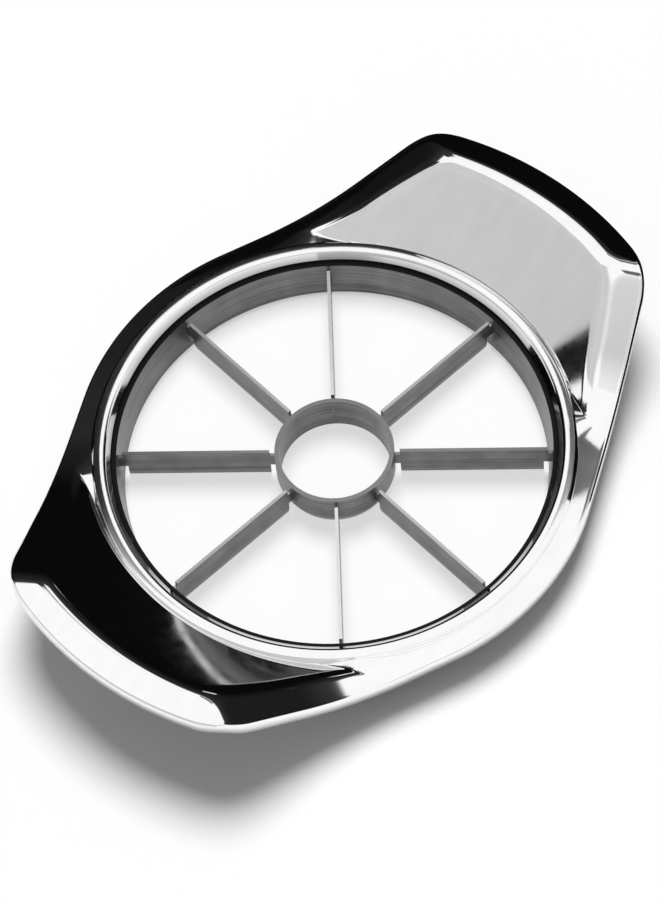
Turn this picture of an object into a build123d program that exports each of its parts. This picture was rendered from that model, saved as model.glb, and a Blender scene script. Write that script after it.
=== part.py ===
"""Hand apple divider: a pressed steel frame with two raised wing handles, a tapered blade band
wedged into its collar, eight radial blades and a core ring.

Frame: millimetres, +Z up, X along the handles. The origin is on the axis of the opening,
on the plane that the band, the ring and the cutting edges rest on.
"""

from build123d import *
import os
from math import acos, atan, cos, degrees, radians, sin

# Heights above the resting plane
LIP_Z = 9.5
BEAD_RISE = 1.1
RIDGE_RISE = 12.65
SKIRT_DEPTH = 2.8

# Frame in plan
SHEET = 1.5
OPENING_R = 47.0
BEAD_STEPS = 6
FOOT_R = 50.3
FACE_R = 49.1
FACE_AXIS_X = -8.0
WAIST_R = 54.4
RIDGE_R = 67.05
END_R = 74.2
SIDE_ANGLE = 66.0
CORNER_R = 15.0

# Border: it falls outward all round, and climbs along each side of a wing
BORDER_FALL = 0.17
END_FALL = 0.19
CLIMB = 0.42
CLIMB_R = 60.0
CLIMB_START = 9.5
RIDGE_FOLD_R = 3.0
SIDE_FOLD_R = 2.5
EDGE_CHAMFER = 0.5

# Blade band and the collar that holds it
BAND_TOP_R = 45.2
BAND_BASE_R = 44.1
BAND_WALL = 0.8
BAND_TOP_Z = 8.5
SEAT_Z = 8.2
COLLAR_BASE_Z = 3.2
COLLAR_WALL = 1.2
COLLAR_CLEARANCE = 0.05

# Core ring and blades
CORE_R = 11.5
CORE_WALL = 0.9
CORE_TOP_Z = 8.7
CORE_BEVEL_HEIGHT = 2.2
BLADE_PAIRS = (-7.3, 41.4, 83.3, 128.6)
BLADE_THICK = 0.7
BLADE_TOP_Z = 8.3
BEVEL_HEIGHT = 1.6
EDGE_THICK = 0.12
SHOULDER_GAP = 1.1
RELIEF_GAP = 1.0
TAB_BASE_Z = 3.6
TAB_HEIGHT = 3.4
SLOT_CLEARANCE = 0.05
SLOT_LENGTH = 6.0

HOLLOW_R = 30.0
DEEP = 12.0
FAR = 100.0

os.makedirs("parts", exist_ok=True)

# A side of a wing is a straight line tangent to the waist arc, met by the end arc at a corner.
side_out = Vector(cos(radians(SIDE_ANGLE)), sin(radians(SIDE_ANGLE)))
side_along = Vector(sin(radians(SIDE_ANGLE)), -cos(radians(SIDE_ANGLE)))
tangent_point = side_out * WAIST_R
corner_angle = SIDE_ANGLE - degrees(acos(WAIST_R / END_R))
corner_point = Vector(END_R, 0).rotate(Axis.Z, corner_angle)
waist_drop = BORDER_FALL * (WAIST_R - FOOT_R)
ridge_z = LIP_Z + RIDGE_RISE
face_root_r = FACE_R - (LIP_Z + DEEP) * (RIDGE_R - FACE_R) / RIDGE_RISE


def outline(inset):
    """Plan of the frame: waist arcs, tangent sides and end arcs about the opening's axis."""
    waist_sweep = 180 - 2 * SIDE_ANGLE
    with BuildSketch() as plan:
        with BuildLine():
            CenterArc((0, 0), END_R, -corner_angle, 2 * corner_angle)
            Line((corner_point.X, corner_point.Y), (tangent_point.X, tangent_point.Y))
            CenterArc((0, 0), WAIST_R, SIDE_ANGLE, waist_sweep)
            Line((-tangent_point.X, tangent_point.Y), (-corner_point.X, corner_point.Y))
            CenterArc((0, 0), END_R, 180 - corner_angle, 2 * corner_angle)
            Line((-corner_point.X, -corner_point.Y), (-tangent_point.X, -tangent_point.Y))
            CenterArc((0, 0), WAIST_R, 180 + SIDE_ANGLE, waist_sweep)
            Line((tangent_point.X, -tangent_point.Y), (corner_point.X, -corner_point.Y))
        make_face()
        fillet(plan.vertices().sort_by(lambda v: abs(v.X))[-4:], CORNER_R)
        if inset:
            offset(amount=-inset)
    return plan.sketch


def wedge():
    """Sector that holds one wing, between the radii where its straight sides begin."""
    with BuildSketch() as plan:
        with BuildLine():
            Polyline(
                (0, 0),
                (side_out.X * FAR, -side_out.Y * FAR),
                (FAR, -side_out.Y * FAR),
                (FAR, side_out.Y * FAR),
                (side_out.X * FAR, side_out.Y * FAR),
                close=True,
            )
        make_face()
    return plan.sketch


def turned_land(inset):
    """Everything under the flat land and the border that falls away from it at the waist."""
    with BuildPart() as turned:
        with BuildSketch(Plane.XZ):
            with BuildLine():
                Polyline(
                    (HOLLOW_R, -DEEP),
                    (HOLLOW_R, LIP_Z),
                    (FOOT_R, LIP_Z),
                    (FAR, LIP_Z - BORDER_FALL * (FAR - FOOT_R)),
                    (FAR, -DEEP),
                    close=True,
                )
            make_face()
            if inset:
                offset(amount=-inset)
        revolve(axis=Axis.Z)
    return turned.part


def turned_wing(inset):
    """Everything under the wings' face, which is part of a wide cone, and under the end border."""
    with BuildPart() as turned:
        with BuildSketch(Plane.XZ) as section:
            with BuildLine():
                Polyline(
                    (face_root_r, -DEEP),
                    (RIDGE_R, ridge_z),
                    (FAR, ridge_z - END_FALL * (FAR - RIDGE_R)),
                    (FAR, -DEEP),
                    close=True,
                )
            make_face()
            if inset:
                offset(amount=-inset)
            else:
                fillet(section.vertices().sort_by_distance((RIDGE_R, ridge_z))[0], RIDGE_FOLD_R)
        revolve(axis=Axis((FACE_AXIS_X, 0, 0), (0, 0, 1)))
    return turned.part


def under_border(inset):
    """Everything under the border of the side at +Y: level at first, then climbing to the end."""
    fall = atan(BORDER_FALL)
    section = Plane(
        origin=(tangent_point.X, tangent_point.Y, LIP_Z - waist_drop),
        x_dir=(side_along.X, side_along.Y, 0),
        z_dir=(-side_out.X * cos(fall), -side_out.Y * cos(fall), sin(fall)),
    )
    climb = atan(CLIMB)
    with BuildPart() as body:
        with BuildSketch(section):
            with BuildLine():
                level = Line((-FAR, 0), (CLIMB_START, 0))
                bend = JernArc(level @ 1, level % 1, CLIMB_R, degrees(climb))
                rise = Line(bend @ 1, (FAR, (bend @ 1).Y + CLIMB * (FAR - (bend @ 1).X)))
                Polyline(rise @ 1, (FAR, -FAR), (-FAR, -FAR), level @ 0)
            make_face()
            if inset:
                offset(amount=-inset)
        extrude(amount=FAR, both=True)
    return body.part


def wing_form(inset):
    """Everything under one raised wing and the land at its foot; its folds are rounded on top."""
    border = under_border(inset)
    with BuildPart() as wing:
        add(turned_wing(inset))
        extrude(wedge(), amount=FAR, both=True, mode=Mode.INTERSECT)
        add(border, mode=Mode.INTERSECT)
        mirror(border, about=Plane.XZ, mode=Mode.INTERSECT)
        if not inset:
            raised = wing.edges().filter_by(lambda e: e.center().Z > LIP_Z)
            curved = raised.filter_by(GeomType.LINE, reverse=True).filter_by(GeomType.CIRCLE, reverse=True)
            folds = curved.filter_by(lambda e: Vector(e.center().X, e.center().Y).length < 0.9 * FAR)
            fillet(folds, SIDE_FOLD_R)
    with BuildPart() as raised_wing:
        with BuildSketch(Plane.XY.offset(LIP_Z - inset)):
            add(wedge())
        extrude(amount=-LIP_Z - DEEP)
        add(border, mode=Mode.INTERSECT)
        mirror(border, about=Plane.XZ, mode=Mode.INTERSECT)
        add(wing.part)
    return raised_wing.part


def pressing(inset, rim):
    """Everything under the top of the frame; its faces move in by inset, its outline by rim."""
    wing = wing_form(inset)
    with BuildPart() as form:
        add(turned_land(inset))
        extrude(wedge(), amount=FAR, both=True, mode=Mode.SUBTRACT)
        extrude(mirror(wedge(), about=Plane.YZ), amount=FAR, both=True, mode=Mode.SUBTRACT)
        add(wing)
        mirror(wing, about=Plane.YZ)
        extrude(outline(rim), amount=FAR, both=True, mode=Mode.INTERSECT)
    return form.part


def band_r(z):
    """Inner radius of the tapered blade band at one height."""
    return BAND_BASE_R + (BAND_TOP_R - BAND_BASE_R) * z / BAND_TOP_Z


def collar_r(z):
    """Inner radius of the collar, which follows the outside of the band."""
    return band_r(z) + BAND_WALL + COLLAR_CLEARANCE


# Frame: one pressing with a bevelled, turned-down rim, hollow underneath. A raised bead rings the
# opening, and inside it the sheet turns down into the collar that grips the band.
underside_z = LIP_Z - SHEET

bead_half = (FOOT_R - OPENING_R) / 2
bead_middle_r = OPENING_R + bead_half


def bead_point(turn):
    """Point of the bead's section, a low half-ellipse in flat steps from the lip to the foot."""
    return (bead_middle_r - bead_half * cos(radians(turn)), LIP_Z + BEAD_RISE * sin(radians(turn)))


with BuildPart() as body_frame:
    add(pressing(0, 0))
    waist_edge = body_frame.edges().sort_by_distance((0, WAIST_R, LIP_Z - waist_drop))[0]
    chamfer(waist_edge, EDGE_CHAMFER)
    add(pressing(SHEET, SHEET), mode=Mode.SUBTRACT)
    with Locations((0, 0, -SKIRT_DEPTH)):
        add(pressing(0, -1), mode=Mode.SUBTRACT)
    with BuildSketch():
        Circle(bead_middle_r)
    extrude(amount=FAR, both=True, mode=Mode.SUBTRACT)
    with BuildSketch(Plane.XZ) as collar_section:
        with BuildLine():
            Polyline([bead_point(180 * step / BEAD_STEPS) for step in range(BEAD_STEPS + 1)])
            Polyline(
                (FOOT_R, LIP_Z),
                (FOOT_R, underside_z),
                (collar_r(underside_z) + COLLAR_WALL, underside_z),
                (collar_r(COLLAR_BASE_Z) + COLLAR_WALL, COLLAR_BASE_Z),
                (collar_r(COLLAR_BASE_Z), COLLAR_BASE_Z),
                (collar_r(SEAT_Z), SEAT_Z),
                (OPENING_R, SEAT_Z),
                (OPENING_R, LIP_Z),
            )
        make_face()
    revolve(axis=Axis.Z)
body_frame.part.label = "body_frame"
export_step(body_frame.part, "parts/body_frame.step")


# Slots for the blade tabs, cut through a ring-shaped wall
def tab_slots(radius):
    """Boxes round one radius, each a slip fit on a blade's tab."""
    slot_width = BLADE_THICK + 2 * SLOT_CLEARANCE
    slot_height = TAB_HEIGHT + 2 * SLOT_CLEARANCE
    slot_z = TAB_BASE_Z + TAB_HEIGHT / 2
    with BuildPart() as slots:
        for turn in BLADE_PAIRS:
            with Locations((0, 0, slot_z)):
                with PolarLocations(radius, 2, start_angle=turn):
                    Box(SLOT_LENGTH, slot_width, slot_height)
    return slots.part


# Blade band: a thin tapered ring, wider at the top, wedged in the collar
with BuildPart() as blade_band:
    with BuildSketch(Plane.XZ):
        with BuildLine():
            Polyline(
                (BAND_BASE_R, 0),
                (BAND_BASE_R + BAND_WALL, 0),
                (BAND_TOP_R + BAND_WALL, BAND_TOP_Z),
                (BAND_TOP_R, BAND_TOP_Z),
                close=True,
            )
        make_face()
    revolve(axis=Axis.Z)
    add(tab_slots(BAND_TOP_R), mode=Mode.SUBTRACT)
blade_band.part.label = "blade_band"
export_step(blade_band.part, "parts/blade_band.step")

# Core ring: a straight tube sharpened on the outside of its lower end, slotted like the band
with BuildPart() as core_ring:
    with BuildSketch(Plane.XZ):
        with BuildLine():
            Polyline(
                (CORE_R, 0),
                (CORE_R + EDGE_THICK, 0),
                (CORE_R + CORE_WALL, CORE_BEVEL_HEIGHT),
                (CORE_R + CORE_WALL, CORE_TOP_Z),
                (CORE_R, CORE_TOP_Z),
                close=True,
            )
        make_face()
    revolve(axis=Axis.Z)
    add(tab_slots(CORE_R), mode=Mode.SUBTRACT)
core_ring.part.label = "core_ring"
export_step(core_ring.part, "parts/core_ring.step")


# Blades: flat strips with a cutting bevel on both sides of the lower edge, and a tab at each end,
# set in pairs that lie in one line across the opening
tab_top_z = TAB_BASE_Z + TAB_HEIGHT
shoulder_in = CORE_R + CORE_WALL + SHOULDER_GAP
shoulder_out = band_r(BLADE_TOP_Z) - SHOULDER_GAP
shoulder_low = band_r(0) - RELIEF_GAP
with BuildPart() as blade:
    with BuildSketch(Plane.XZ):
        with BuildLine():
            Polyline(
                (shoulder_in, 0),
                (shoulder_low, 0),
                (shoulder_low, TAB_BASE_Z),
                (band_r(TAB_BASE_Z) + BAND_WALL, TAB_BASE_Z),
                (band_r(tab_top_z) + BAND_WALL, tab_top_z),
                (shoulder_out, tab_top_z),
                (shoulder_out, BLADE_TOP_Z),
                (shoulder_in, BLADE_TOP_Z),
                (shoulder_in, tab_top_z),
                (CORE_R, tab_top_z),
                (CORE_R, TAB_BASE_Z),
                (shoulder_in, TAB_BASE_Z),
                close=True,
            )
        make_face()
    extrude(amount=BLADE_THICK / 2, both=True)
    for flank in blade.faces().filter_by(Axis.Y):
        lower_edge = flank.edges().sort_by(Axis.Z)[0]
        grind = (BLADE_THICK - EDGE_THICK) / 2
        chamfer(lower_edge, length=BEVEL_HEIGHT, length2=grind, reference=flank)

for number in range(2 * len(BLADE_PAIRS)):
    turn = BLADE_PAIRS[number % len(BLADE_PAIRS)] + 180 * (number // len(BLADE_PAIRS))
    placed = blade.part.rotate(Axis.Z, turn)
    placed.label = f"blade_{number + 1}"
    export_step(placed, f"parts/blade_{number + 1}.step")
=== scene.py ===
import bpy
from math import atan, atan2, cos, hypot, pi, radians, sin, sqrt
from mathutils import Matrix, Vector


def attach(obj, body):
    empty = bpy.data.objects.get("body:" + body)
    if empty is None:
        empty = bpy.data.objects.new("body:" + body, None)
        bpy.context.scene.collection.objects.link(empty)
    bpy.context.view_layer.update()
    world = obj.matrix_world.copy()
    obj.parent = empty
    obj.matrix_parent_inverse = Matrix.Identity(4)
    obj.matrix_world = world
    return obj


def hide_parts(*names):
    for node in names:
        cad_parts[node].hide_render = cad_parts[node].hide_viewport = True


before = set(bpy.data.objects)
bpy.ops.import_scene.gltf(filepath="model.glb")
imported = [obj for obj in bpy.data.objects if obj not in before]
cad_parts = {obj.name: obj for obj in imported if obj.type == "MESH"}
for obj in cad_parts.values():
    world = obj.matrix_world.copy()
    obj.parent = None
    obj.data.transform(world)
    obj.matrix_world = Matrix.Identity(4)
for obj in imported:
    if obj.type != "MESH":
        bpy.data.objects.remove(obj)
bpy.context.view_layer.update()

bpy.ops.object.select_all(action="DESELECT")

# Camera: it looks down on the tool across the handles, a little rolled, through a long lens from
# one metre away. The lamp and the cards take their bearings from it.
eye_turn = radians(44.7)
eye_height = radians(59.42)
eye_roll = radians(-6.41)
eye_distance = 1.0
aim = Vector((-0.00089, 0.00033, 0.0095))
away = Vector((sin(eye_turn), cos(eye_turn), 0))
right = Vector((cos(eye_turn), -sin(eye_turn), 0))
back = Vector((0, 0, sin(eye_height))) - away * cos(eye_height)
up = back.cross(right)
rolled_right = right * cos(eye_roll) + up * sin(eye_roll)
rolled_up = up * cos(eye_roll) - right * sin(eye_roll)
eye_matrix = Matrix((rolled_right, rolled_up, back)).transposed().to_4x4()
eye_matrix.translation = aim + back * eye_distance
bpy.ops.object.camera_add()
camera = bpy.context.object
camera.name = "camera"
camera.matrix_world = eye_matrix
camera.data.sensor_fit = "HORIZONTAL"
camera.data.sensor_width = 36
camera.data.lens = 264.6
camera.data.clip_start = 0.01
bpy.context.scene.camera = camera
bpy.context.scene.view_settings.view_transform = "Standard"

# Floor: a white sheet under the tool. To the eye it is pure white, and it keeps the soft shadow
# that the tool throws on it. Inside the opening the paper glows a little, so shadows stay faint.
glow_r = 0.043
glow_end_r = 0.046
glow_share = 0.62

bpy.ops.mesh.primitive_grid_add(x_subdivisions=8, y_subdivisions=8, size=6, location=(0, 0, 0))
floor = bpy.context.object
floor.name = "floor_sheet"
sheet_paper = bpy.data.materials.new("sheet_paper")
sheet_paper.use_nodes = True
paper = sheet_paper.node_tree
paper_shader = paper.nodes["Principled BSDF"]
paper_shader.inputs["Roughness"].default_value = 0.9
paper_shader.inputs["Specular IOR Level"].default_value = 0.0
paper_path = paper.nodes.new("ShaderNodeLightPath")
paper_tone = paper.nodes.new("ShaderNodeMix")
paper_tone.data_type = "RGBA"
paper_tone.inputs["A"].default_value = (0.9, 0.9, 0.9, 1)
paper_tone.inputs["B"].default_value = (1, 1, 1, 1)
paper.links.new(paper_path.outputs["Is Camera Ray"], paper_tone.inputs["Factor"])
paper.links.new(paper_tone.outputs["Result"], paper_shader.inputs["Base Color"])
paper_place = paper.nodes.new("ShaderNodeTexCoord")
paper_reach = paper.nodes.new("ShaderNodeVectorMath")
paper_reach.operation = "LENGTH"
paper_open = paper.nodes.new("ShaderNodeMapRange")
paper_open.inputs["From Min"].default_value = glow_r
paper_open.inputs["From Max"].default_value = glow_end_r
paper_open.inputs["To Min"].default_value = glow_share
paper_open.inputs["To Max"].default_value = 0.0
paper_glow = paper.nodes.new("ShaderNodeEmission")
paper_mix = paper.nodes.new("ShaderNodeMixShader")
paper.links.new(paper_place.outputs["Object"], paper_reach.inputs[0])
paper.links.new(paper_reach.outputs["Value"], paper_open.inputs["Value"])
paper.links.new(paper_open.outputs[0], paper_mix.inputs[0])
paper.links.new(paper_shader.outputs[0], paper_mix.inputs[1])
paper.links.new(paper_glow.outputs[0], paper_mix.inputs[2])
paper.links.new(paper_mix.outputs[0], paper.nodes["Material Output"].inputs["Surface"])
floor.data.materials.append(sheet_paper)

# Studio light: a soft lamp high behind the tool, in a white room. The steel sees the
# room at full white; as light on the tool it is only the fill.
room_fill = 0.24

world = bpy.data.worlds.new("studio_room")
bpy.context.scene.world = world
world.use_nodes = True
room = world.node_tree
room_wall = room.nodes["Background"]
room_wall.inputs["Color"].default_value = (1, 1, 1, 1)
room_path = room.nodes.new("ShaderNodeLightPath")
room_seen = room.nodes.new("ShaderNodeMath")
room_seen.operation = "MAXIMUM"
room_level = room.nodes.new("ShaderNodeMapRange")
room_level.inputs["To Min"].default_value = room_fill
room_level.inputs["To Max"].default_value = 1.0
room.links.new(room_path.outputs["Is Camera Ray"], room_seen.inputs[0])
room.links.new(room_path.outputs["Is Glossy Ray"], room_seen.inputs[1])
room.links.new(room_seen.outputs[0], room_level.inputs["Value"])
room.links.new(room_level.outputs[0], room_wall.inputs["Strength"])

lamp_height = radians(63)
lamp_bearing = radians(4)
lamp_back = Vector((0, 0, sin(lamp_height)))
lamp_back += (away * cos(lamp_bearing) + right * sin(lamp_bearing)) * cos(lamp_height)
bpy.ops.object.light_add(type="SUN", location=lamp_back)
lamp = bpy.context.object
lamp.name = "soft_lamp"
lamp.rotation_euler = lamp_back.to_track_quat("Z", "Y").to_euler()
lamp.data.energy = 2.68
lamp.data.angle = radians(30)
lamp.visible_glossy = False

# Cards: bent sheets round the tool that only the steel sees. Black flags stand behind it and grey
# cards beside it and behind the camera. Small ones hang close by, for the folds of the wings, the
# foot of the bead and the land on the right.


def card_paint(name, distance, greys):
    """Glow that changes with height, from grey levels at heights in degrees."""
    paint = bpy.data.materials.new(name + "_paint")
    paint.use_nodes = True
    tree = paint.node_tree
    tree.nodes.remove(tree.nodes["Principled BSDF"])
    place = tree.nodes.new("ShaderNodeTexCoord")
    parts = tree.nodes.new("ShaderNodeSeparateXYZ")
    bottom = distance * sin(radians(greys[0][0]))
    top = distance * sin(radians(greys[-1][0]))
    level = tree.nodes.new("ShaderNodeMapRange")
    level.inputs["From Min"].default_value = bottom
    level.inputs["From Max"].default_value = top
    ramp = tree.nodes.new("ShaderNodeValToRGB")
    while len(ramp.color_ramp.elements) < len(greys):
        ramp.color_ramp.elements.new(0.5)
    for stop, (height, grey) in zip(ramp.color_ramp.elements, greys):
        stop.position = (distance * sin(radians(height)) - bottom) / (top - bottom)
        stop.color = (grey, grey, grey, 1)
    glow = tree.nodes.new("ShaderNodeEmission")
    tree.links.new(place.outputs["Object"], parts.inputs[0])
    tree.links.new(parts.outputs["Z"], level.inputs["Value"])
    tree.links.new(level.outputs[0], ramp.inputs["Fac"])
    tree.links.new(ramp.outputs["Color"], glow.inputs["Color"])
    tree.links.new(glow.outputs[0], tree.nodes["Material Output"].inputs["Surface"])
    return paint


def studio_card(name, near_side, far_side, distance, greys):
    """Bent card between two bearings from straight away, right of it positive.

    Its first and last grey levels stand at its lower and upper edge.
    """
    rows = 12
    columns = 48
    low = greys[0][0]
    high = greys[-1][0]
    here = Vector((0, distance * cos(radians(low)), distance * sin(radians(low))))
    bpy.ops.mesh.primitive_plane_add(size=0.01, location=(0, 0, 0))
    card = bpy.context.object
    card.name = name
    bpy.ops.object.mode_set(mode="EDIT")
    bpy.ops.mesh.merge(type="CENTER")
    bpy.ops.transform.translate(value=here)
    for row in range(rows):
        rise = radians(low + (high - low) * (row + 1) / rows)
        there = Vector((0, distance * cos(rise), distance * sin(rise)))
        bpy.ops.mesh.extrude_vertices_move(TRANSFORM_OT_translate={"value": there - here})
        here = there
    bpy.ops.mesh.select_all(action="SELECT")
    sweep = radians(far_side - near_side)
    bpy.ops.mesh.spin(steps=columns, dupli=False, angle=sweep, center=(0, 0, 0), axis=(0, 0, 1))
    bpy.ops.object.mode_set(mode="OBJECT")
    card.rotation_euler = (0, 0, -eye_turn - radians(near_side))
    bpy.ops.object.transform_apply(location=True, rotation=True, scale=True)
    card.visible_camera = False
    card.visible_diffuse = False
    card.visible_shadow = False
    bpy.ops.object.select_all(action="DESELECT")
    card.data.materials.append(card_paint(name, distance, greys))


flag_greys = ((0, 0.003), (28, 0.003), (42, 0.014), (52, 0.03), (54.5, 0.07), (56, 0.8))
studio_card("black_flag", -66, 68, 1.2, flag_greys)
studio_card("low_flag", -70, 100, 0.085, ((0, 0.003), (22, 0.003)))
studio_card("high_flag", -36, -8, 1.18, ((53, 0.03), (60, 0.03), (63, 0.5)))
studio_card("root_flag", -80, -66, 1.2, ((28.3, 0.01), (33, 0.012)))
studio_card("fold_flag", -50.5, -33, 0.2, ((46, 0.01), (58, 0.03)))
studio_card("dim_card", 10, 42, 1.22, ((56.5, 0.11), (60, 0.15), (62, 0.5)))
studio_card("foot_card", 12, 32, 0.2, ((44, 0.75), (48, 0.85)))
studio_card("near_dim_card", 70, 77, 0.12, ((44, 0.19), (47, 0.14), (51.5, 0.1)))
studio_card("grey_card", -178, -80, 1.25, ((27.5, 0.56), (50, 0.6), (58, 0.64)))
studio_card("near_grey_card", -80, -74, 1.25, ((33, 0.56), (50, 0.6), (58, 0.64)))
studio_card("rear_card", 110, 284, 1.3, ((58, 0.62), (72, 0.62), (76, 0.76), (80, 1.0)))

# Frame: one pressing of polished sheet steel. A bead rings the opening, the land runs out to a rim
# that is turned down all round, and the two wing handles are pulled up out of the same sheet.
# It is drawn as the section at the waist, spun into a ring, and the wings are then drawn up.
# Sizes are in millimetres. A rise or height is over the lip, and a z over the tool's resting plane.
mm = 0.001
hair = 0.01
sheet = 1.5
lip_z = 9.5
lip_r = 46.3
foot_r = 50.3
border_fall = 0.17


def soft_lower(one, other, reach):
    """The lower of two heights, with the fold between them rounded over reach."""
    apart = abs(one - other)
    return min(one, other) - max(0.0, reach - apart) ** 2 / (4 * reach)


def soft_higher(one, other, reach):
    """The higher of two heights, with the fold between them rounded over reach."""
    return -soft_lower(-one, -other, reach)


def land_height(r):
    """Height of the land, which falls outward from the foot of the bead."""
    return -border_fall * (r - foot_r)


# Bead: an almost level top, rolled down to the band inside and to the land outside.
bead_rise = 1.05
bead_crest_r = 48.6
bead_curve = 0.03
bead_edge_r = 46.55
bead_inner_side = 1.1
bead_outer_side = 1.9
bead_corner = 0.3


def bead_height(r):
    """Height of the bead."""
    crown = bead_rise - bead_curve * (r - bead_crest_r) ** 2
    inner = bead_inner_side * (r - bead_edge_r)
    outer = bead_outer_side * (foot_r - r)
    return soft_lower(soft_lower(crown, inner, bead_corner), outer, bead_corner)


# Outline: waist arcs, straight sides and end arcs round the opening, with rounded corners.
waist_r = 54.39
end_r = 74.19
corner_r = 15.0
side_angle = radians(66)
side_out = Vector((cos(side_angle), sin(side_angle)))
side_along = Vector((sin(side_angle), -cos(side_angle)))
corner_reach = sqrt((end_r - corner_r) ** 2 - (waist_r - corner_r) ** 2)
corner_middle = side_out * (waist_r - corner_r) + side_along * corner_reach
corner_from = atan2(corner_middle.y, corner_middle.x)
corner_to = side_angle - atan2(corner_reach, waist_r)


def rim_place(angle, inset):
    """Plan place on the outline in one direction, moved in square to the outline."""
    ray = Vector((abs(cos(angle)), abs(sin(angle))))
    turn = atan2(ray.y, ray.x)
    if turn >= side_angle:
        spot = ray * (waist_r - inset)
    elif turn >= corner_to:
        spot = ray * (waist_r / ray.dot(side_out)) - side_out * inset
    elif turn > corner_from:
        reach = ray.dot(corner_middle)
        spot = ray * (reach + sqrt(reach ** 2 - corner_middle.length_squared + corner_r ** 2))
        spot -= (spot - corner_middle) * (inset / corner_r)
    else:
        spot = ray * (end_r - inset)
    return Vector((spot.x if cos(angle) > 0 else -spot.x, spot.y if sin(angle) > 0 else -spot.y))


# Wings: each has a face that is part of a wide cone, with a border folded down along its end and
# its sides. The border of a side is level at first and then climbs.
face_axis_x = -8.0
face_start_r = 49.1
ridge_r = 67.05
ridge_rise = 12.65
end_fall = 0.19
end_fold = 2.0
side_fold = 1.3
climb = 0.42
climb_r = 60.0
climb_start = 9.5
root_from = radians(36)
root_to = radians(45)
root_top = 0.75
root_fold = 0.4
foot_reach = 1.5
foot_fold = 0.35


def side_border(x, y):
    """Height of the border along a wing's side."""
    across = x * side_out.x + y * side_out.y
    along = x * side_along.x + y * side_along.y - climb_start
    bend_end = climb_r * sin(atan(climb))
    rise = 0.0
    if along > bend_end:
        rise = climb_r * (1 - cos(atan(climb))) + climb * (along - bend_end)
    elif along > 0:
        rise = climb_r - sqrt(climb_r ** 2 - along ** 2)
    return rise + land_height(across)


def top_height(x, y):
    """Height of the pressing's upper side, at one place in plan."""
    x = abs(x)
    y = abs(y)
    r = hypot(x, y)
    turn = atan2(y, x)
    height = land_height(r)
    if turn < side_angle:
        reach = hypot(x - face_axis_x, y) + face_axis_x
        face = ridge_rise / (ridge_r - face_start_r) * (reach - face_start_r)
        end = ridge_rise - end_fall * (reach - ridge_r)
        border = side_border(x, y)
        wing = soft_lower(soft_lower(face, end, end_fold), border, side_fold)
        share = min(1.0, max(0.0, (turn - root_from) / (root_to - root_from)))
        share = share * share * (3 - 2 * share)
        root = height + (soft_lower(border, root_top, root_fold) - height) * share
        height = max(wing, root)
    if r < foot_r + foot_reach:
        return soft_higher(bead_height(r), height, foot_fold)
    return height


# Section at the waist, upper side first: bead, land, rounded rim, skirt and hem, underside, the
# fold into the collar, the collar, the seat over the band, and the lip. Its last point isn't joined
# to its first, which leaves a slit of about 0.15 mm open round the lip.
rim_r = 52.8
edge_r = 0.8
skirt_depth = 2.8
hem_r = 0.35
hem_inner_r = 0.3
underside_z = lip_z - sheet
underside_middle_r = 48.5
fold_r = 0.7
fold_middle_out = 0.25
fold_middle_z = underside_z - 0.2
fold_end_z = underside_z - fold_r
collar_base_z = 3.2
collar_wall = 1.2
collar_edge = 0.2
collar_edge_z = collar_base_z + collar_edge
collar_clearance = 0.05
seat_z = 8.2
seat_corner = 0.15
lip_roll = 0.4
band_base_r = 44.1
band_flare = 1.1
band_top_z = 8.5
band_wall = 0.8
bead_steps = 48
bead_crowding = 0.1
land_steps = 52
underside_steps = 20


def collar_r(z):
    """Inner radius of the collar, which follows the outside of the tapered band."""
    return band_base_r + band_flare * z / band_top_z + band_wall + collar_clearance


def quarter_turn(middle_r, middle_z, radius, start, steps):
    """Points of a quarter circle in the section, clockwise from start degrees."""
    turns = [radians(start - 90 * step / steps) for step in range(steps + 1)]
    return [(middle_r + radius * cos(turn), middle_z + radius * sin(turn)) for turn in turns]


section = []
for step in range(bead_steps + 1):
    share = step / bead_steps
    share -= bead_crowding * sin(2 * pi * share) / pi
    r = lip_r + 2 * hair + (foot_r - lip_r - 2 * hair) * share
    section.append((r, lip_z + bead_height(r)))
for step in range(1, land_steps + 1):
    r = foot_r + (rim_r - foot_r) * step / land_steps
    section.append((r, lip_z + land_height(r)))
edge_middle_r = waist_r - edge_r
edge_middle_z = lip_z + land_height(edge_middle_r) - edge_r
border_middle_r = (rim_r + edge_middle_r) / 2
section.append((border_middle_r, lip_z + land_height(border_middle_r)))
section += quarter_turn(edge_middle_r, edge_middle_z, edge_r, 90, 10)
skirt_z = lip_z + land_height(waist_r) - skirt_depth
section += quarter_turn(waist_r - hem_r, skirt_z + hem_r, hem_r, 0, 4)
section += quarter_turn(waist_r - sheet + hem_inner_r, skirt_z + hem_inner_r, hem_inner_r, -90, 3)
for step in range(underside_steps + 1):
    r = waist_r - sheet - (waist_r - sheet - foot_r) * step / underside_steps
    section.append((r, underside_z + land_height(r)))
section += [
    (underside_middle_r, underside_z),
    (collar_r(underside_z) + collar_wall + fold_r, underside_z),
    (collar_r(fold_middle_z) + collar_wall + fold_middle_out, fold_middle_z),
    (collar_r(fold_end_z) + collar_wall, fold_end_z),
    (collar_r(collar_edge_z) + collar_wall, collar_edge_z),
    (collar_r(collar_base_z) + collar_wall - collar_edge, collar_base_z),
    (collar_r(collar_base_z), collar_base_z),
    (collar_r(seat_z), seat_z),
    (lip_r - seat_corner, seat_z),
    (lip_r, seat_z + seat_corner),
    (lip_r, lip_z - lip_roll),
]

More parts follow.
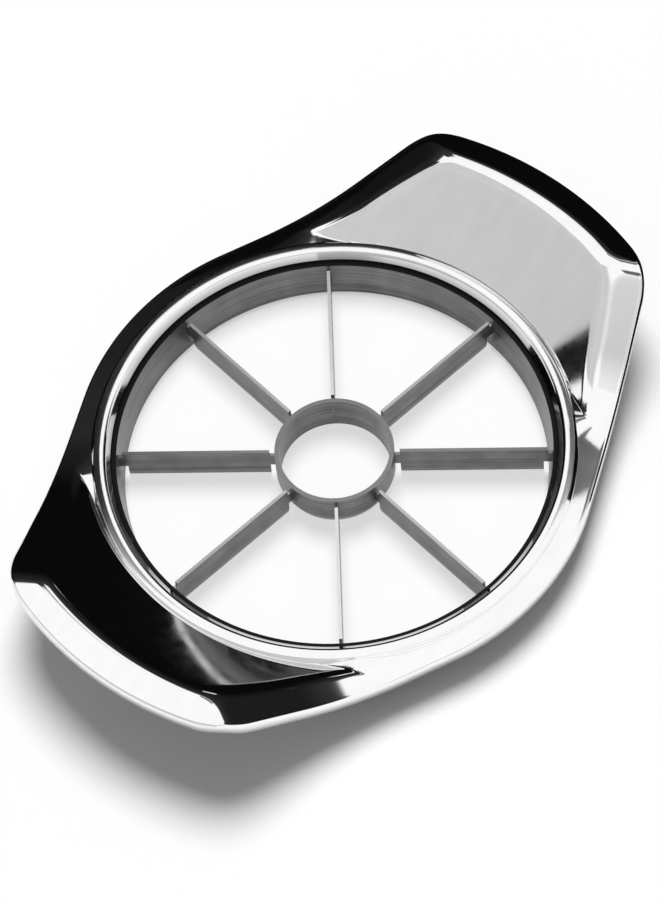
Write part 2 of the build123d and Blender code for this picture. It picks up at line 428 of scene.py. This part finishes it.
ring_steps = 640
bpy.ops.mesh.primitive_plane_add(size=0.01, location=(0, 0, 0))
steel_frame = bpy.context.object
steel_frame.name = "pressed_frame"
bpy.ops.object.mode_set(mode="EDIT")
bpy.ops.mesh.merge(type="CENTER")
pen = Vector((section[0][0], 0, section[0][1])) * mm
bpy.ops.transform.translate(value=pen)
for r, z in section[1:]:
    dot = Vector((r, 0, z)) * mm
    bpy.ops.mesh.extrude_vertices_move(TRANSFORM_OT_translate={"value": dot - pen})
    pen = dot
bpy.ops.mesh.select_all(action="SELECT")
bpy.ops.mesh.spin(steps=ring_steps, dupli=False, angle=2 * pi, center=(0, 0, 0), axis=(0, 0, 1))
bpy.ops.mesh.select_all(action="SELECT")
bpy.ops.mesh.remove_doubles(threshold=0.000001)
bpy.ops.object.mode_set(mode="OBJECT")

# Marks for the finish: the lip's inner side, at the seam, gets near-black painted shade, and all
# that faces down or in is plain.
plain_mark = 1
seam_shade_mark = 2
skirt_inside_r = waist_r - 0.4
for face in steel_frame.data.polygons:
    x, y, z = face.center / mm
    r = hypot(x, y)
    if r < lip_r + hair and z > underside_z:
        face.material_index = seam_shade_mark
    elif r < skirt_inside_r and z < lip_z - sheet / 2 + min(0.0, land_height(r)):
        face.material_index = plain_mark

# Press: each place of the ring goes out to the real outline and up to the height of the wing there.
# The underside drops further where the sheet leans, so that the wall keeps its thickness.
pressed_from_r = bead_crest_r + 0.2
underside_drop = 0.9 * sheet
probe = 0.05
most_lean = 1.4


def lean(spot):
    """Upright thickness of the sheet over its real one, at one place in plan."""
    x, y = spot
    slope_x = (top_height(x + probe, y) - top_height(x - probe, y)) / (2 * probe)
    slope_y = (top_height(x, y + probe) - top_height(x, y - probe)) / (2 * probe)
    return min(most_lean, sqrt(1 + slope_x ** 2 + slope_y ** 2))


for point in steel_frame.data.vertices:
    x, y, z = point.co / mm
    r = hypot(x, y)
    angle = atan2(y, x)
    under = z - lip_z - (bead_height(r) if r < foot_r else land_height(r))
    in_underside = r < waist_r - sheet + hair and under < -underside_drop
    if r < pressed_from_r or (in_underside and r <= foot_r):
        continue
    if r <= foot_r:
        spot = Vector((x, y))
    elif r <= rim_r:
        share = (r - foot_r) / (rim_r - foot_r)
        spot = rim_place(angle, waist_r - rim_r) * share
        spot += Vector((cos(angle), sin(angle))) * foot_r * (1 - share)
    else:
        spot = rim_place(angle, waist_r - r)
    if in_underside:
        under *= lean(spot)
    point.co = Vector((spot.x, spot.y, lip_z + top_height(spot.x, spot.y) + under)) * mm

bpy.ops.object.mode_set(mode="EDIT")
bpy.ops.mesh.select_all(action="SELECT")
bpy.ops.mesh.normals_make_consistent(inside=False)
bpy.ops.object.mode_set(mode="OBJECT")
bpy.ops.object.shade_smooth_by_angle(angle=radians(40))
steel_frame.data.update()

# Its finish: buffed to a mirror on top, with faint buffing lines and the slight waviness of pressed
# sheet. Its colour is darkened as painted shade where the lip rolls down to the band, and the
# collar and the underside are left plain from the press.
lip_shade_width = 1.5


def steel_tree(name, base, metal):
    """New steel material with its node tree, shader and Object coordinates."""
    made = bpy.data.materials.new(name)
    made.use_nodes = True
    tree = made.node_tree
    shader = tree.nodes["Principled BSDF"]
    shader.inputs["Base Color"].default_value = (base, base, base * 0.99, 1)
    shader.inputs["Metallic"].default_value = metal
    place = tree.nodes.new("ShaderNodeTexCoord")
    return made, tree, shader, place.outputs["Object"]


def noise(tree, vector, stretch, scale, detail):
    """Noise in stretched coordinates."""
    mapping = tree.nodes.new("ShaderNodeMapping")
    mapping.inputs["Scale"].default_value = stretch
    grain = tree.nodes.new("ShaderNodeTexNoise")
    grain.inputs["Scale"].default_value = scale
    grain.inputs["Detail"].default_value = detail
    tree.links.new(vector, mapping.inputs["Vector"])
    tree.links.new(mapping.outputs[0], grain.inputs["Vector"])
    return grain.outputs["Fac"]


def spread(tree, value, low, high, start=0.3, stop=0.7):
    """Output between low and high, for a value between start and stop."""
    reach = tree.nodes.new("ShaderNodeMapRange")
    reach.inputs["From Min"].default_value = start
    reach.inputs["From Max"].default_value = stop
    reach.inputs["To Min"].default_value = low
    reach.inputs["To Max"].default_value = high
    tree.links.new(value, reach.inputs["Value"])
    return reach.outputs[0]


def bump(tree, value, depth, under=None):
    """Bump of a given depth in metres, on top of another one if there is one."""
    relief = tree.nodes.new("ShaderNodeBump")
    relief.inputs["Distance"].default_value = depth
    tree.links.new(value, relief.inputs["Height"])
    if under:
        tree.links.new(under, relief.inputs["Normal"])
    return relief.outputs[0]


polished_steel, tree, shader, place = steel_tree("polished_steel", base=0.95, metal=1.0)
waves = noise(tree, place, stretch=(1, 1, 1), scale=90, detail=1)
lines = noise(tree, place, stretch=(1, 9, 1), scale=900, detail=3)
smears = noise(tree, place, stretch=(1, 2.5, 1), scale=130, detail=4)
tree.links.new(spread(tree, smears, low=0.035, high=0.075), shader.inputs["Roughness"])
wavy = bump(tree, waves, depth=12e-6)
tree.links.new(bump(tree, lines, depth=0.6e-6, under=wavy), shader.inputs["Normal"])
plan = tree.nodes.new("ShaderNodeVectorMath")
plan.operation = "MULTIPLY"
plan.inputs[1].default_value = (1, 1, 0)
plan_r = tree.nodes.new("ShaderNodeVectorMath")
plan_r.operation = "LENGTH"
tree.links.new(place, plan.inputs[0])
tree.links.new(plan.outputs[0], plan_r.inputs[0])
lip_shade_end_r = lip_r + lip_shade_width
# Painted shade: the colour darkens towards the lip's inner edge, down to 0.42 of itself at the lip.
lip_shade = spread(tree, plan_r.outputs["Value"], 0.42, 1.0, start=lip_r * mm, stop=lip_shade_end_r * mm)
tone = tree.nodes.new("ShaderNodeMath")
tone.operation = "MULTIPLY"
tree.links.new(spread(tree, smears, low=0.925, high=0.97), tone.inputs[0])
tree.links.new(lip_shade, tone.inputs[1])
shade = tree.nodes.new("ShaderNodeCombineColor")
for channel in range(3):
    tree.links.new(tone.outputs[0], shade.inputs[channel])
tree.links.new(shade.outputs[0], shader.inputs["Base Color"])

plain_steel, tree, shader, place = steel_tree("plain_steel", base=0.5, metal=1.0)
grain = noise(tree, place, stretch=(1, 1, 1), scale=1600, detail=5)
stains = noise(tree, place, stretch=(1, 1, 0.6), scale=110, detail=4)
tree.links.new(spread(tree, stains, low=0.3, high=0.5), shader.inputs["Roughness"])
tree.links.new(bump(tree, grain, depth=15e-6), shader.inputs["Normal"])

# Painted shade: near black on the lip's inner side, for the shade in the narrow gap over the band.
painted_seam_shade, tree, shader, place = steel_tree("painted_seam_shade", base=0.012, metal=0.4)
seam_grain = noise(tree, place, stretch=(1, 1, 1), scale=700, detail=4)
tree.links.new(spread(tree, seam_grain, low=0.5, high=0.8), shader.inputs["Roughness"])
tree.links.new(bump(tree, seam_grain, depth=30e-6), shader.inputs["Normal"])

for material in (polished_steel, plain_steel, painted_seam_shade):
    steel_frame.data.materials.append(material)
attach(steel_frame, "root")
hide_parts("body_frame")
bpy.ops.object.select_all(action="DESELECT")

# Blade band and core ring: rings of satin stainless sheet, brushed round, with a ground top edge.
# The band is wedged in the collar, and its sunk top edge is painted near black as shade; the core
# ring hangs on the tabs of the blades, and its top edge is painted lighter as a highlight.


def satin(name, turn, stretch, painted_top_tone, edge_rough):
    """Satin steel with brushing lines across stretched coordinates; faces that look up, its top
    edge, take a painted tone, lighter for a painted highlight, darker for painted shade.
    """
    made, tree, shader, place = steel_tree(name, base=0.3, metal=1.0)
    turned = tree.nodes.new("ShaderNodeMapping")
    turned.inputs["Rotation"].default_value = (0, 0, -turn)
    tree.links.new(place, turned.inputs["Vector"])
    lines = noise(tree, turned.outputs[0], stretch=stretch, scale=120, detail=6)
    stains = noise(tree, turned.outputs[0], stretch=(1, 1, 1), scale=160, detail=4)
    side = tree.nodes.new("ShaderNodeMath")
    side.operation = "MULTIPLY"
    tree.links.new(spread(tree, lines, low=0.11, high=0.25), side.inputs[0])
    tree.links.new(spread(tree, stains, low=0.75, high=1.1), side.inputs[1])
    facing = tree.nodes.new("ShaderNodeNewGeometry")
    parts = tree.nodes.new("ShaderNodeSeparateXYZ")
    tree.links.new(facing.outputs["Normal"], parts.inputs[0])
    # Painted light and shade: faces that look up, the top edge, take the painted top tone instead
    # of the side's tone.
    level = spread(tree, parts.outputs["Z"], 0, 1, start=0.6, stop=0.9)
    tone = tree.nodes.new("ShaderNodeMix")
    tree.links.new(level, tone.inputs["Factor"])
    tree.links.new(side.outputs[0], tone.inputs["A"])
    tree.links.new(spread(tree, stains, painted_top_tone * 0.85, painted_top_tone), tone.inputs["B"])
    shade = tree.nodes.new("ShaderNodeCombineColor")
    for channel in range(3):
        tree.links.new(tone.outputs["Result"], shade.inputs[channel])
    tree.links.new(shade.outputs[0], shader.inputs["Base Color"])
    polish = tree.nodes.new("ShaderNodeMix")
    tree.links.new(level, polish.inputs["Factor"])
    tree.links.new(spread(tree, lines, low=0.26, high=0.44), polish.inputs["A"])
    tree.links.new(spread(tree, stains, edge_rough, edge_rough + 0.08), polish.inputs["B"])
    tree.links.new(polish.outputs["Result"], shader.inputs["Roughness"])
    tree.links.new(bump(tree, lines, depth=4e-6), shader.inputs["Normal"])
    return made


# The band's top edge tone is painted shade, the core ring's is a painted highlight.
band_steel = satin("band_steel", 0, (0.15, 0.15, 22), painted_top_tone=0.03, edge_rough=0.4)
core_steel = satin("core_steel", 0, (0.3, 0.3, 22), painted_top_tone=0.4, edge_rough=0.22)
for node_name, material in (("blade_band", band_steel), ("core_ring", core_steel)):
    node = bpy.data.objects[node_name]
    node.data.materials.clear()
    node.data.materials.append(material)

# Blades: eight strips of spring steel brushed lengthwise, with a painted highlight along the ground
# top edge. Tabs at both ends hold them in slots of the band and the core ring. Each pair in one
# line shares its brushing direction; it is given here with the tone of the painted highlight on its
# edge.
blade_pairs = ((-7.3, 0.6), (41.4, 0.9), (83.3, 0.6), (128.6, 0.3))
for number, (turn, painted_top_tone) in enumerate(blade_pairs, start=1):
    name = f"blade_steel_{number}"
    # Painted highlight: the blade's top edge takes the pair's lighter tone.
    blade_steel = satin(name, radians(turn), (0.12, 1, 22), painted_top_tone, edge_rough=0.12)
    for node_name in (f"blade_{number}", f"blade_{number + len(blade_pairs)}"):
        node = bpy.data.objects[node_name]
        node.data.materials.clear()
        node.data.materials.append(blade_steel)
